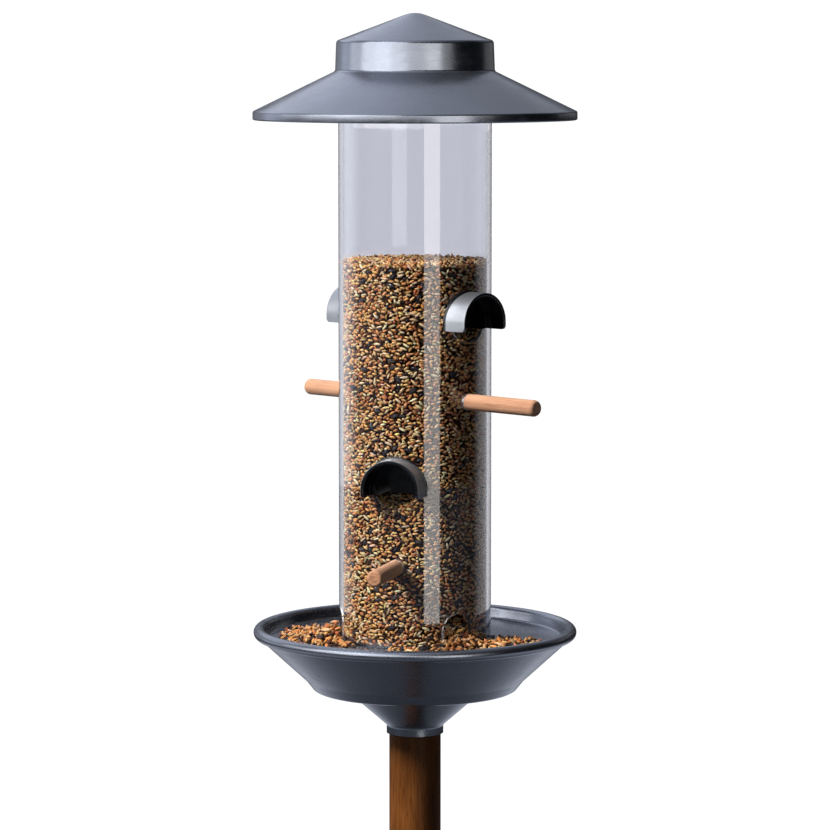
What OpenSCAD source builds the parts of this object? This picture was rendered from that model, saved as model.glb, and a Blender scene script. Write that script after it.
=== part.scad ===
// Tube bird feeder on a ground pole.
// +Z is up and the origin is on the pole's axis at ground level, under the spike's step plate.
// The upper ports and the upper perch lie along X, the lower ones are turned by level_turn.

/* [Pole] */
// Diameter of the wooden pole
pole_d = 32; // [26:1:32]
// Length of each of the two pole sections
pole_section = 350; // [200:10:900]
// Length of the steel sleeve over the joint of the sections
sleeve_length = 70; // [50:1:120]

/* [Ground spike] */
// Diameter of the round pin that is driven into the ground
spike_d = 16; // [10:1:24]
// Length of the pin's straight part below the step plate
spike_length = 125; // [100:5:300]
// Length of the pin's point
spike_point = 25; // [15:1:60]
// Diameter of the step plate
plate_d = 84; // [60:1:140]

/* [Tray] */
// Outer diameter of the tray over its rolled rim
tray_d = 200; // [180:1:230]
// Radius of the rolled rim
roll_r = 3.6; // [2.5:0.1:4.5]
// Depth of the bowl under the tray floor
bowl_depth = 32; // [28:1:45]
// Thickness of the spun sheet of the dish, bowl and socket
tray_sheet = 1; // [0.8:0.1:1.4]

/* [Tube] */
// Outer diameter of the clear tube
tube_d = 94; // [90:1:96]
// Wall thickness of the clear tube
tube_wall = 2.5; // [2:0.1:3.5]
// Length of the clear tube above the tray floor
tube_h = 367; // [300:1:450]
// Width of the arched seed outlets at the tube's foot
outlet_w = 20; // [14:1:26]
// Height of the arched seed outlets
outlet_h = 21; // [16:1:26]
// Direction of the first outlet, with the others a third of a turn apart
outlet_turn = -11; // [-20:1:0]

/* [Ports, hoods and perches] */
// Diameter of each feeding port
port_d = 29; // [26:1:30]
// Height of the lower ports' centres above the tray floor
port_z = 100.5; // [90:0.5:110]
// Height from the lower ports to the upper ports
port_step = 100; // [80:1:110]
// Turn of the lower ports and perch about the tube
level_turn = -60; // [-90:5:-30]
// Width of each hood
hood_w = 36.5; // [34:0.5:40]
// Height of each hood
hood_h = 23; // [22:0.5:26]
// Reach of each hood beyond the tube
hood_reach = 13; // [8:0.5:20]
// Diameter of the perches
perch_d = 10; // [8:0.5:12]
// Length of the perches
perch_l = 198; // [160:1:240]
// Height from a perch's axis up to its port's centre
perch_drop = 50.5; // [40:0.5:55]

/* [Roof] */
// Outer diameter of the roof
roof_d = 198.5; // [180:0.5:240]
// Height of the roof's collar
collar_h = 18.4; // [14:0.1:26]
// Slope of the roof's cap
cap_slope = 20.6; // [10:0.2:30]
// Slope of the roof's brim
brim_slope = 25.9; // [15:0.2:30]
// Height of the roof's folded rim band
band_h = 5.2; // [3:0.1:8]
// Thickness of the roof's sheet
roof_sheet = 0.8; // [0.6:0.1:1.2]

/* [Seed] */
// Height of the seed in the tube above the tray floor
seed_h = 233; // [225:1:320]
// Height of each heap where the seed runs out
heap_h = 10; // [6:0.5:11]
// Radius of the thin spill round each outlet
spill_r = 36; // [26:1:36]

/* [Hidden] */
$fn = 96;

// Clearances: a small one between fixed pieces, a running fit, and one past the moving pieces
gap = 0.05;
fit = 0.08;
clear = 0.3;

// Heights
plate_t = 4;
cup_h = 56;
pole_r = pole_d / 2;
joint_z = plate_t + pole_section;
pole_top = joint_z + pole_section;
floor_z = pole_top + bowl_depth;
roof_z = floor_z + tube_h + clear;

// Tube
tube_r = tube_d / 2;
bore_r = tube_r - tube_wall;
outlets = [for (i = [0 : 2]) outlet_turn + 120 * i];

// Levels, each as the height of its port centres over the tray floor and its turn
upper = [port_z + port_step, 0];
lower = [port_z, level_turn];
port_r = port_d / 2;
perch_r = perch_d / 2;
// How far each perch sits along its own axis from the middle
upper_shift = 3.75;
lower_shift = -5;

// Hoods: wall, seating flange, rounding of the lower front corners and drop under the port's centre
hood_wall = 2;
flange_w = 1.3;
flange_t = 1.2;
corner_r = 2.5;
hood_drop = 6.5;
hood_front = tube_r + hood_reach;
arch_r = hood_w / 2;
arch_leg = hood_h - arch_r;

// Baffles: neck through the port, wall, and depth inside the tube
neck_r = port_r - clear;
baffle_wall = 1.6;
baffle_back = 30;
baffle_flange_r = port_r + 2.5;
baffle_flange_t = 1.2;

// Fasteners
bolt_r = 3;
bolt_head_r = 6;
bolt_head_h = 4;
bolt_into_pole = 25;
washer_t = 1.2;
washer_r = 9;
insert_r = 5;
insert_h = 22;
spacer_r = 6.5;
seat_edge = 1.5;
seat_top = 8;
seat_boss_r = 12;
seat_screw_r = 1.5;
seat_screw_at = 24;
wood_screw_r = 1.6;
wood_screw_l = 14;
wood_head_r = 3.6;
wood_head_h = 1.8;

// ---- Outlines -------------------------------------------------------------------------------

function unit(v) = v / norm(v);

function right_of(a, b) = let (d = unit(b - a)) [d[1], -d[0]];

// An arc of radius r in the corner b of the line a, b, c, in n steps
function corner(a, b, c, r, n = 8) =
    let (u = unit(a - b), v = unit(c - b), half = acos(u * v) / 2, centre = b + unit(u + v) * r / sin(half))
    [for (i = [0 : n])
        let (t = i / n, p = b + u * r / tan(half), q = b + v * r / tan(half))
        centre + r * unit((p - centre) * (1 - t) + (q - centre) * t)];

// A line with each corner rounded by the radius of the same index, where 0 keeps it sharp
function rounded(line, radii) =
    [for (i = [0 : len(line) - 1])
        each radii[i] == 0 ? [line[i]] : corner(line[i - 1], line[i], line[i + 1], radii[i])];

// The line moved by t to its right-hand side, and never past the axis
function beside(line, t) =
    let (last = len(line) - 1)
    [for (i = [0 : last])
        let (
            before = right_of(line[max(i - 1, 0)], line[max(i, 1)]),
            after = right_of(line[min(i, last - 1)], line[min(i + 1, last)]),
            middle = unit(before + after),
            moved = line[i] + middle * t / (middle * before)
        )
        [max(moved[0], 0), moved[1]]];

function backwards(line) = [for (i = [len(line) - 1 : -1 : 0]) line[i]];

// A spun sheet of thickness t to the right of a line from the axis outwards
module spun(line, t) {
    rotate_extrude() polygon(concat(line, backwards(beside(line, t))));
}

// A round-topped arch about the origin, with legs down to -leg
module arch(r, leg) {
    intersection() {
        union() {
            circle(r);
            translate([-r, -leg]) square([2 * r, leg]);
        }
        translate([-r, -leg]) square([2 * r, r + leg]);
    }
}

// A flat outline in Y and Z, drawn out along X from x0 to x1
module along_x(x0, x1) {
    translate([x0, 0, 0]) rotate([90, 0, 90]) linear_extrude(x1 - x0) children();
}

// A flat outline in X and Z, drawn out along Y to w / 2 on each side
module along_y(w) {
    rotate([90, 0, 0]) linear_extrude(w, center = true) children();
}

module ring(r_in, r_out, h) {
    difference() {
        cylinder(r = r_out, h = h);
        translate([0, 0, -1]) cylinder(r = r_in, h = h + 2);
    }
}

// Puts a shape that faces +X on one side of a level
module at_port(level, side) {
    translate([0, 0, floor_z + level[0]]) rotate([0, 0, level[1] + 180 * side]) children();
}

// A rod along a level's perch axis, from side to side
module perch_rod(level, r, l) {
    translate([0, 0, floor_z + level[0] - perch_drop]) rotate([0, 0, level[1]])
        rotate([0, 90, 0]) cylinder(r = r, h = l, center = true);
}

// ---- Ground spike and pole --------------------------------------------------------------------

cup_r = pole_r + 0.1;
cup_wall = 2.1;
sleeve_r = pole_r + gap;
sleeve_wall = 1.95;
// The screws' heights and the radius of the face that each head sits on, all facing -Y
spike_screw_z = plate_t + 38;
sleeve_screw_z = [joint_z - sleeve_length / 4, joint_z + sleeve_length / 4];

module wood_screw(z, face_r, extra = 0) {
    translate([0, 0, z]) rotate([90, 0, 0]) {
        translate([0, 0, face_r - wood_screw_l]) cylinder(r = wood_screw_r + extra, h = wood_screw_l + extra);
        translate([0, 0, face_r]) intersection() {
            cylinder(r = wood_head_r, h = wood_head_h);
            translate([0, 0, wood_head_h - 2 * wood_head_r]) sphere(r = 2 * wood_head_r);
        }
    }
}

module ground_spike() {
    outer = cup_r + cup_wall;
    color("dimgray") difference() {
        rotate_extrude() polygon([
            [0, -spike_length - spike_point], [spike_d / 2, -spike_length], [spike_d / 2, 0], [plate_d / 2, 0],
            [plate_d / 2, plate_t], [outer, plate_t], [outer, plate_t + cup_h], [cup_r, plate_t + cup_h],
            [cup_r, plate_t], [0, plate_t]
        ]);
        wood_screw(spike_screw_z, outer);
    }
}

module spike_screw() {
    color("silver") wood_screw(spike_screw_z, cup_r + cup_wall);
}

module pole_lower() {
    color("#4a2a18") difference() {
        translate([0, 0, plate_t]) cylinder(r = pole_r, h = pole_section);
        wood_screw(spike_screw_z, cup_r + cup_wall);
        wood_screw(sleeve_screw_z[0], sleeve_r + sleeve_wall);
    }
}

module joining_sleeve() {
    color("dimgray") difference() {
        translate([0, 0, joint_z - sleeve_length / 2]) ring(sleeve_r, sleeve_r + sleeve_wall, sleeve_length);
        for (z = sleeve_screw_z) wood_screw(z, sleeve_r + sleeve_wall);
    }
}

module sleeve_screws() {
    color("silver") for (z = sleeve_screw_z) wood_screw(z, sleeve_r + sleeve_wall);
}

module pole_upper() {
    color("#4a2a18") difference() {
        translate([0, 0, joint_z]) cylinder(r = pole_r, h = pole_section);
        translate([0, 0, pole_top - bolt_into_pole - 1]) cylinder(r = insert_r, h = bolt_into_pole + 2);
        wood_screw(sleeve_screw_z[1], sleeve_r + sleeve_wall);
    }
}

module threaded_insert() {
    color("gold") translate([0, 0, pole_top - insert_h]) ring(bolt_r, insert_r, insert_h);
}

// ---- Tray -------------------------------------------------------------------------------------

tray_r = tray_d / 2;
roll_at = tray_r - roll_r;
roll_z = 4.2;
floor_r = roll_at - roll_r - 1.4;
bowl_foot_r = 0.625 * tray_r;
bowl_knee = [0.678 * tray_r, -0.79 * bowl_depth];
bowl_edge = [roll_at - 0.7, -tray_sheet * 0.3];
funnel_r = 0.428 * tray_r;
socket_r = pole_r + 1.6;
funnel_h = 22.2;
socket_h = 5;

// The socket's top flange is welded under the bowl, and its collar slips over the pole
module pole_socket() {
    color("slategray") translate([0, 0, pole_top]) spun(
        rounded(
            [[34, 0], [funnel_r, 0], [socket_r, -funnel_h], [socket_r, -funnel_h - socket_h]],
            [0, 0, 2, 0]
        ),
        tray_sheet
    );
}

module bowl() {
    color("slategray") translate([0, 0, floor_z]) difference() {
        spun(
            rounded([[0, -bowl_depth], [bowl_foot_r, -bowl_depth], bowl_knee, bowl_edge], [0, 4, 6, 0]),
            -tray_sheet
        );
        translate([0, 0, -bowl_depth - 1]) cylinder(r = bolt_r + gap, h = 4);
    }
}

module spacer_sleeve() {
    color("silver") translate([0, 0, floor_z - bowl_depth + tray_sheet])
        ring(bolt_r + gap, spacer_r, bowl_depth - 2 * tray_sheet);
}

module seed_dish() {
    curl = [for (a = [165 : -15 : -120]) [roll_at + roll_r * cos(a), roll_z + roll_r * sin(a)]];
    color("slategray") translate([0, 0, floor_z]) difference() {
        spun(concat(rounded([[0, 0], [floor_r, 0], [roll_at - roll_r, roll_z]], [0, 1.5, 0]), curl), tray_sheet);
        translate([0, 0, -2]) cylinder(r = bolt_r + gap, h = 4);
        seat_screw_places() translate([0, 0, -2]) cylinder(r = seat_screw_r + gap, h = 4);
    }
}

// ---- Tube seat and its fasteners ----------------------------------------------------------------

module seat_screw_places() {
    for (a = outlets) rotate([0, 0, a + 60]) translate([seat_screw_at, 0, 0]) children();
}

module tube_seat() {
    color("black") translate([0, 0, floor_z]) difference() {
        rotate_extrude() polygon([
            [0, 0], [bore_r - gap, 0], [bore_r - gap, seat_edge], [seat_boss_r, seat_top], [0, seat_top]
        ]);
        translate([0, 0, -1]) cylinder(r = bolt_r + gap, h = seat_top + 2);
        seat_screw_places() translate([0, 0, -1]) cylinder(r = seat_screw_r, h = 5);
    }
}

module seat_screws() {
    color("silver") translate([0, 0, floor_z]) seat_screw_places() {
        translate([0, 0, -tray_sheet]) cylinder(r = seat_screw_r, h = tray_sheet + 4);
        translate([0, 0, -tray_sheet - 2]) cylinder(r = 2 * seat_screw_r, h = 2);
    }
}

module bolt_washer() {
    color("silver") translate([0, 0, floor_z + seat_top]) ring(bolt_r + gap, washer_r, washer_t);
}

module centre_bolt() {
    head_z = floor_z + seat_top + washer_t;
    color("silver") {
        translate([0, 0, pole_top - bolt_into_pole]) cylinder(r = bolt_r, h = head_z - pole_top + bolt_into_pole);
        translate([0, 0, head_z]) intersection() {
            cylinder(r = bolt_head_r, h = bolt_head_h);
            translate([0, 0, bolt_head_h - 2 * bolt_head_r]) sphere(r = 2 * bolt_head_r);
        }
    }
}

// ---- Tube ---------------------------------------------------------------------------------------

module outlet_arch(x0, x1) {
    along_x(x0, x1) translate([0, outlet_h - outlet_w / 2]) arch(outlet_w / 2, outlet_h);
}

module tube() {
    color("lavender", 0.4) difference() {
        translate([0, 0, floor_z]) ring(bore_r, tube_r, tube_h);
        for (level = [upper, lower]) {
            for (side = [0, 1]) at_port(level, side) rotate([0, 90, 0]) cylinder(r = port_r, h = tube_d);
            perch_rod(level, perch_r + fit, 2 * tube_d);
        }
        translate([0, 0, floor_z]) for (a = outlets) rotate([0, 0, a]) outlet_arch(tube_r / 2, tube_d);
    }
}

// ---- Hoods and baffles ----------------------------------------------------------------------------

// The canopy over a port: an arch with rounded lower front corners and a flange that hugs the tube
module hood() {
    mid = hood_drop - arch_leg;
    side_view = rounded(
        [[bore_r / 2, arch_r + 1], [bore_r / 2, -arch_leg], [hood_front, -arch_leg], [hood_front, arch_r + 1]],
        [0, 0, corner_r, 0]
    );
    color("silver") difference() {
        translate([0, 0, -mid]) union() {
            intersection() {
                along_x(bore_r / 2, hood_front) difference() {
                    arch(arch_r, arch_leg);
                    arch(arch_r - hood_wall, arch_leg + 1);
                }
                along_y(2 * hood_w) polygon(side_view);
            }
            intersection() {
                along_x(bore_r / 2, hood_front) difference() {
                    arch(arch_r + flange_w, arch_leg);
                    translate([0, mid]) circle(neck_r);
                }
                translate([0, 0, -hood_w]) cylinder(r = tube_r + flange_t, h = 2 * hood_w);
            }
        }
        translate([0, 0, -2 * hood_w]) cylinder(r = tube_r + gap, h = 4 * hood_w);
    }
}

// The scoop behind a port that keeps the seed off it: a round tunnel that is open below
module baffle() {
    far = tube_r + flange_t;
    color("black") difference() {
        union() {
            intersection() {
                along_x(baffle_back, far) difference() {
                    circle(neck_r - gap);
                    circle(neck_r - baffle_wall);
                }
                translate([0, 0, -2 * hood_w]) cylinder(r = far, h = 4 * hood_w);
            }
            along_x(baffle_back, baffle_back + baffle_wall) circle(neck_r - gap);
            intersection() {
                along_x(bore_r / 2, tube_r) difference() {
                    circle(baffle_flange_r);
                    circle(neck_r - baffle_wall);
                }
                translate([0, 0, -hood_w]) ring(bore_r - gap - baffle_flange_t, bore_r - gap, 2 * hood_w);
            }
        }
        translate([0, -hood_w, -hood_w - hood_drop]) cube([tube_d, 2 * hood_w, hood_w]);
    }
}

module hood_upper_a() { at_port(upper, 0) hood(); }
module hood_upper_b() { at_port(upper, 1) hood(); }
module hood_lower_a() { at_port(lower, 0) hood(); }
module hood_lower_b() { at_port(lower, 1) hood(); }
module baffle_upper_a() { at_port(upper, 0) baffle(); }
module baffle_upper_b() { at_port(upper, 1) baffle(); }
module baffle_lower_a() { at_port(lower, 0) baffle(); }
module baffle_lower_b() { at_port(lower, 1) baffle(); }

// ---- Perches --------------------------------------------------------------------------------------

module perch(level, shift) {
    end_l = 2.4;
    end_r = perch_r - 1.5;
    half = perch_l / 2;
    color("burlywood") translate([0, 0, floor_z + level[0] - perch_drop]) rotate([0, 0, level[1]])
        translate([shift, 0, 0]) rotate([0, 90, 0]) rotate_extrude() polygon([
            [0, -half], [end_r, -half], [perch_r - 0.4, -half + 0.4 * end_l], [perch_r, -half + end_l],
            [perch_r, half - end_l], [perch_r - 0.4, half - 0.4 * end_l], [end_r, half], [0, half]
        ]);
}

module perch_upper() { perch(upper, upper_shift); }
module perch_lower() { perch(lower, lower_shift); }

// ---- Seed -----------------------------------------------------------------------------------------

seed_r = bore_r - 0.4;
// The slope that the seed takes where it runs out
repose = 30;

// The hollow in the seed at a port: the baffle's room and a slope up from the port's lower edge
module port_hollow() {
    deep = baffle_back - clear;
    past = tube_r;
    flange_r = baffle_flange_r + clear;
    behind_flange = sqrt(pow(bore_r - 2 * baffle_flange_t, 2) - pow(flange_r, 2));
    intersection() {
        along_x(deep, past) circle(port_r);
        along_y(2 * hood_w) polygon([
            [past, port_r], [deep, port_r], [deep, -hood_drop - 0.8],
            [bore_r, -hood_drop - 0.8 - (bore_r - deep) * tan(repose) * 0.9], [past, -port_r - 1]
        ]);
    }
    intersection() {
        along_x(behind_flange, past) circle(flange_r);
        translate([0, -hood_w, -hood_drop - clear]) cube([tube_d, 2 * hood_w, hood_w]);
    }
}

// The hollow in the seed at an outlet: what would stand above the heap's slope
module outlet_hollow() {
    intersection() {
        outlet_arch(bore_r - 12, tube_r);
        along_y(2 * outlet_w) polygon([
            [tube_r, heap_h], [tube_r, outlet_h + 1], [tube_r - (outlet_h + 1 - heap_h) / tan(repose), outlet_h + 1]
        ]);
    }
}

module seed_column() {
    color("peru") difference() {
        translate([0, 0, floor_z]) rotate_extrude() polygon([
            [0, seat_top + washer_t + bolt_head_h + 1], [bolt_head_r + 2, seat_top + washer_t + bolt_head_h + 1],
            [washer_r + 1, seat_top + washer_t + 0.6], [seat_boss_r + 1, seat_top + 0.2],
            [seed_r, seat_edge + 0.2], [seed_r, seed_h], [0, seed_h]
        ]);
        for (level = [upper, lower]) {
            for (side = [0, 1]) at_port(level, side) port_hollow();
            perch_rod(level, perch_r + 2 * clear, tube_d);
        }
        translate([0, 0, floor_z]) for (a = outlets) rotate([0, 0, a]) outlet_hollow();
    }
}

module tray_seed() {
    heap_r = 22;
    spill_h = 3;
    color("peru") translate([0, 0, floor_z]) intersection() {
        difference() {
            union() {
                for (a = outlets) rotate([0, 0, a]) translate([tube_r, 0, 0]) {
                    cylinder(r1 = heap_r, r2 = 0, h = heap_h);
                    cylinder(r1 = spill_r, r2 = 2, h = spill_h);
                }
            }
            translate([0, 0, -1]) cylinder(r = tube_r + clear, h = 30);
        }
        cylinder(r = floor_r - 2, h = 30);
    }
}

// ---- Roof -----------------------------------------------------------------------------------------

// The sheet's outer line runs from the tip down the cap, the collar and the brim to the rim band
module roof() {
    tip_r = 18;
    edge_z = 0.8;
    collar_top = tube_r + clear + roof_sheet;
    collar_foot = collar_top + 0.7;
    tip_end = [tip_r * sin(cap_slope), edge_z + (collar_top - tip_r * sin(cap_slope)) * tan(cap_slope)];
    tip_centre_z = tip_end[1] - tip_r * cos(cap_slope);
    brim_z = edge_z - collar_h - (roof_d / 2 - collar_foot) * tan(brim_slope);
    tip = [for (i = [0 : 5]) [0, tip_centre_z] + tip_r * [sin(cap_slope * i / 6), cos(cap_slope * i / 6)]];
    skirt = rounded(
        [
            tip_end, [collar_top, edge_z], [collar_foot, edge_z - collar_h],
            [roof_d / 2, brim_z], [roof_d / 2, brim_z - band_h]
        ],
        [0, 2.5, 2, 1.5, 0]
    );
    color("slategray") translate([0, 0, roof_z]) spun(concat(tip, skirt), roof_sheet);
}

ground_spike();
spike_screw();
pole_lower();
joining_sleeve();
sleeve_screws();
pole_upper();
threaded_insert();
pole_socket();
bowl();
spacer_sleeve();
seed_dish();
tube_seat();
seat_screws();
bolt_washer();
centre_bolt();
tube();
hood_upper_a();
hood_upper_b();
hood_lower_a();
hood_lower_b();
baffle_upper_a();
baffle_upper_b();
baffle_lower_a();
baffle_lower_b();
perch_upper();
perch_lower();
seed_column();
tray_seed();
roof();
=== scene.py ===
"""Looks of the bird feeder on its ground pole. Lengths are millimetres, and metres once a mesh is made."""

from collections import namedtuple
import math

import bmesh
import bpy
import numpy as np
from mathutils import Matrix, Vector


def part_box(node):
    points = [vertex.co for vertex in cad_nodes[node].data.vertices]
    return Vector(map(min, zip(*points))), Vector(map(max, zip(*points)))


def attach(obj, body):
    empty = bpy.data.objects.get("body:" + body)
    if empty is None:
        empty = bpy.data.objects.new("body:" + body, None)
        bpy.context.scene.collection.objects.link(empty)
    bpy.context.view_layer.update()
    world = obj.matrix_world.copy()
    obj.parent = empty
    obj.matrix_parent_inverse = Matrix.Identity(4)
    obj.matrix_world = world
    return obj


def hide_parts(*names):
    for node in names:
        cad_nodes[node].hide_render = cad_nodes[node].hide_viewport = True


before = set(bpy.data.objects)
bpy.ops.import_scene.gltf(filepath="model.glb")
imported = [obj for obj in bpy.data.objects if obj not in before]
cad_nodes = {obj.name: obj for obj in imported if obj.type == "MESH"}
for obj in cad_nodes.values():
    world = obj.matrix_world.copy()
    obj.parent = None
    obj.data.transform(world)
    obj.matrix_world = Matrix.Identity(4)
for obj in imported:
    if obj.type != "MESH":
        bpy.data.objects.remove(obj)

MM = 0.001
TURN = 2 * math.pi
scene = bpy.context.scene
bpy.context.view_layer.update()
random = np.random.default_rng(7)


def low(node):
    """The lowest corner of a CAD node, in millimetres."""
    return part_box(node)[0] / MM


def high(node):
    """The highest corner of a CAD node, in millimetres."""
    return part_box(node)[1] / MM


# ---- Sizes, in millimetres: places come from the frame, wall thicknesses and roundings are set here ----

FLOOR = low("tube").z
TUBE_R = high("tube").x
TUBE_TOP = high("tube").z
TUBE_WALL = 2.5
BORE_R = TUBE_R - TUBE_WALL
POLE_R = high("pole_upper").x
POLE_TOP = high("pole_upper").z
POLE_JOINT = low("pole_upper").z
PLATE_T = low("pole_lower").z
ROOF_R = high("roof").x
ROOF_FIT = 0.3
ROOF_Z = TUBE_TOP + ROOF_FIT
TRAY_R = high("seed_dish").x
PERCH_R = (high("perch_upper").z - low("perch_upper").z) / 2
PORT_R = 14.5
OUTLET_W = 20
OUTLET_H = 21
LEVEL_TURN = math.radians(-60)
CUP_WALL = 2.2
OUTLET_TURN, OUTLET_COUNT = -11, 3
OUTLETS = [math.radians(OUTLET_TURN + 360 / OUTLET_COUNT * i) for i in range(OUTLET_COUNT)]
SHEET = 1.0
BOLT_HOLE_R = 3.1


def level(node_letter):
    """Height of a level's port centres and of its perch, from that level's hood and perch."""
    hood_drop = 6.5
    perch = f"perch_{node_letter}"
    return low(f"hood_{node_letter}_a").z + hood_drop, (low(perch).z + high(perch).z) / 2


UPPER_PORT_Z, UPPER_PERCH_Z = level("upper")
LOWER_PORT_Z, LOWER_PERCH_Z = level("lower")


# ---- Outlines ----

def rounded(line, radii, steps=8):
    """The line with each corner as an arc of the radius of the same index, where 0 keeps it sharp."""
    out = []
    for i, (point, radius) in enumerate(zip(line, radii)):
        here = Vector(point)
        if radius == 0:
            out.append(here)
            continue
        back = (Vector(line[i - 1]) - here).normalized()
        ahead = (Vector(line[i + 1]) - here).normalized()
        half = back.angle(ahead) / 2
        centre = here + (back + ahead).normalized() * radius / math.sin(half)
        start = here + back * radius / math.tan(half) - centre
        end = here + ahead * radius / math.tan(half) - centre
        for k in range(steps + 1):
            out.append(centre + start.lerp(end, k / steps).normalized() * radius)
    return out


def arc(centre, radius, first, last, steps):
    """Points of an arc between two angles in degrees."""
    angles = [math.radians(first + (last - first) * k / steps) for k in range(steps + 1)]
    return [Vector((centre[0] + radius * math.cos(a), centre[1] + radius * math.sin(a))) for a in angles]


def beside(line, distance):
    """The line moved to its right-hand side, and never past the axis."""
    sharpest = 0.3
    out = []
    for i, here in enumerate(line):
        before = (here - line[i - 1]) if i > 0 else (line[1] - here)
        after = (line[i + 1] - here) if i < len(line) - 1 else before
        sides = [Vector((d.y, -d.x)).normalized() for d in (before, after)]
        middle = (sides[0] + sides[1]).normalized()
        moved = here + middle * distance / max(middle.dot(sides[0]), sharpest)
        out.append(Vector((max(moved.x, 0.0), moved.y)))
    return out


def sheet_outline(line, thickness):
    """The closed outline of a sheet on the right-hand side of a line."""
    return list(line) + beside(line, thickness)[::-1]


# ---- Meshes ----

def new_object(name, data):
    """An object of a mesh, a light or a camera, in the scene."""
    obj = bpy.data.objects.new(name, data)
    scene.collection.objects.link(obj)
    return obj


def add_piece(name, mesh, materials, body, replaced=()):
    """Puts a finished mesh into the scene under its body, and hides the CAD nodes it replaces."""
    for material in materials:
        mesh.materials.append(material)
    obj = new_object(name, mesh)
    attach(obj, body)
    if replaced:
        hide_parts(*replaced)
    return obj


def finish_mesh(name, bm, sharp=32):
    """A mesh from a bmesh in millimetres, with outward faces and smooth shading up to an angle in degrees."""
    bmesh.ops.remove_doubles(bm, verts=bm.verts, dist=1e-4)
    bmesh.ops.recalc_face_normals(bm, faces=bm.faces)
    bmesh.ops.scale(bm, vec=(MM, MM, MM), verts=bm.verts)
    mesh = bpy.data.meshes.new(name)
    bm.to_mesh(mesh)
    bm.free()
    mesh.shade_smooth()
    mesh.set_sharp_from_angle(angle=math.radians(sharp))
    return mesh


def spin(bm, outline, z, turns, place=Matrix.Identity(4)):
    """Adds the closed outline of (radius, height) points, spun about the vertical axis and then placed."""
    on_axis = 1e-6
    rings = []
    for radius, height in outline:
        count = turns if radius > on_axis else 1
        rings.append([
            bm.verts.new(place @ Vector((radius * math.cos(a), radius * math.sin(a), z + height)))
            for a in (TURN * k / turns for k in range(count))
        ])
    for ring, after in zip(rings, rings[1:] + rings[:1]):
        for k in range(turns):
            corners = []
            for loop, index in ((ring, k), (ring, k + 1), (after, k + 1), (after, k)):
                vert = loop[index % len(loop)]
                if vert not in corners:
                    corners.append(vert)
            if len(corners) > 2:
                bm.faces.new(corners)


def prism(bm, ends):
    """Adds a solid between two end faces of as many corners, given as two lists of vertices."""
    first, last = ends
    bm.faces.new(first)
    bm.faces.new(last[::-1])
    for k in range(len(first)):
        after = (k + 1) % len(first)
        bm.faces.new([first[k], last[k], last[after], first[after]])


def spun_piece(name, outline, z, materials, body, replaced, turns):
    """A piece made of one spun outline."""
    bm = bmesh.new()
    spin(bm, outline, z, turns)
    return add_piece(name, finish_mesh(name, bm), materials, body, replaced)


def level_way(angle):
    """A level direction at an angle from +X."""
    return Vector((math.cos(angle), math.sin(angle), 0))


def along(direction, point):
    """A matrix that turns the vertical axis to a direction and puts the origin at a point."""
    return Matrix.Translation(point) @ Vector(direction).to_track_quat("Z", "Y").to_matrix().to_4x4()


def cut(obj, cutters):
    """Cuts what the cutters add to a mesh out of a piece."""
    bm = bmesh.new()
    for cutter in cutters:
        cutter(bm)
    mesh = finish_mesh("cutter", bm)
    tool = new_object("cutter", mesh)
    modifier = obj.modifiers.new("cut", "BOOLEAN")
    modifier.operation = "DIFFERENCE"
    modifier.solver = "EXACT"
    modifier.object = tool
    graph = bpy.context.evaluated_depsgraph_get()
    result = bpy.data.meshes.new_from_object(obj.evaluated_get(graph))
    obj.modifiers.remove(modifier)
    obj.data = result
    bpy.data.objects.remove(tool)
    bpy.data.meshes.remove(mesh)


# ---- Material tools ----

class Tree:
    """A node tree, with short calls to add and join nodes."""

    def __init__(self, tree):
        self.tree = tree

    def add(self, kind, inputs=(), **settings):
        """Adds a node. inputs holds (socket, value or output) pairs."""
        node = self.tree.nodes.new("ShaderNode" + kind)
        for key, value in settings.items():
            setattr(node, key, value)
        for socket, value in inputs:
            self.put(node, socket, value)
        return node

    def put(self, node, socket, value):
        """Sets a socket, or links it to an output."""
        if isinstance(value, bpy.types.NodeSocket):
            self.tree.links.new(value, node.inputs[socket])
        else:
            node.inputs[socket].default_value = value

    def ramp(self, value, stops):
        """A colour ramp of (position, colour) stops."""
        node = self.add("ValToRGB", [("Fac", value)])
        elements = node.color_ramp.elements
        while len(elements) < len(stops):
            elements.new(0.5)
        for element, (position, colour) in zip(elements, stops):
            element.position = position
            element.color = (*colour, 1)
        return node.outputs["Color"]

    def span(self, value, lowest, highest, first=0.0, last=1.0, curve="LINEAR"):
        """The value's range first..last mapped to lowest..highest."""
        return self.add("MapRange", [
            ("Value", value), ("From Min", first), ("From Max", last), ("To Min", lowest), ("To Max", highest)
        ], interpolation_type=curve).outputs["Result"]

    def step(self, value, first, last, lowest=0.0, highest=1.0):
        """A smooth step from lowest to highest as the value goes from first to last."""
        return self.span(value, lowest, highest, first, last, "SMOOTHSTEP")

    def dot(self, one, other):
        """How far one vector points along another."""
        return self.add("VectorMath", [(0, one), (1, other)], operation="DOT_PRODUCT").outputs["Value"]

    def mix(self, factor, one, other, blend="MIX"):
        """Two colours mixed."""
        return self.add(
            "Mix", [("Factor", factor), (6, one), (7, other)], data_type="RGBA", blend_type=blend
        ).outputs[2]

    def maths(self, operation, *values):
        """One number from several, which the operation takes in turn."""
        out = values[0]
        for value in values[1:]:
            out = self.add("Math", [(0, out), (1, value)], operation=operation).outputs[0]
        return out

    def total(self, *parts):
        """The sum of values times their weights."""
        return self.maths("ADD", *[self.maths("MULTIPLY", *part) for part in parts])


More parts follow.
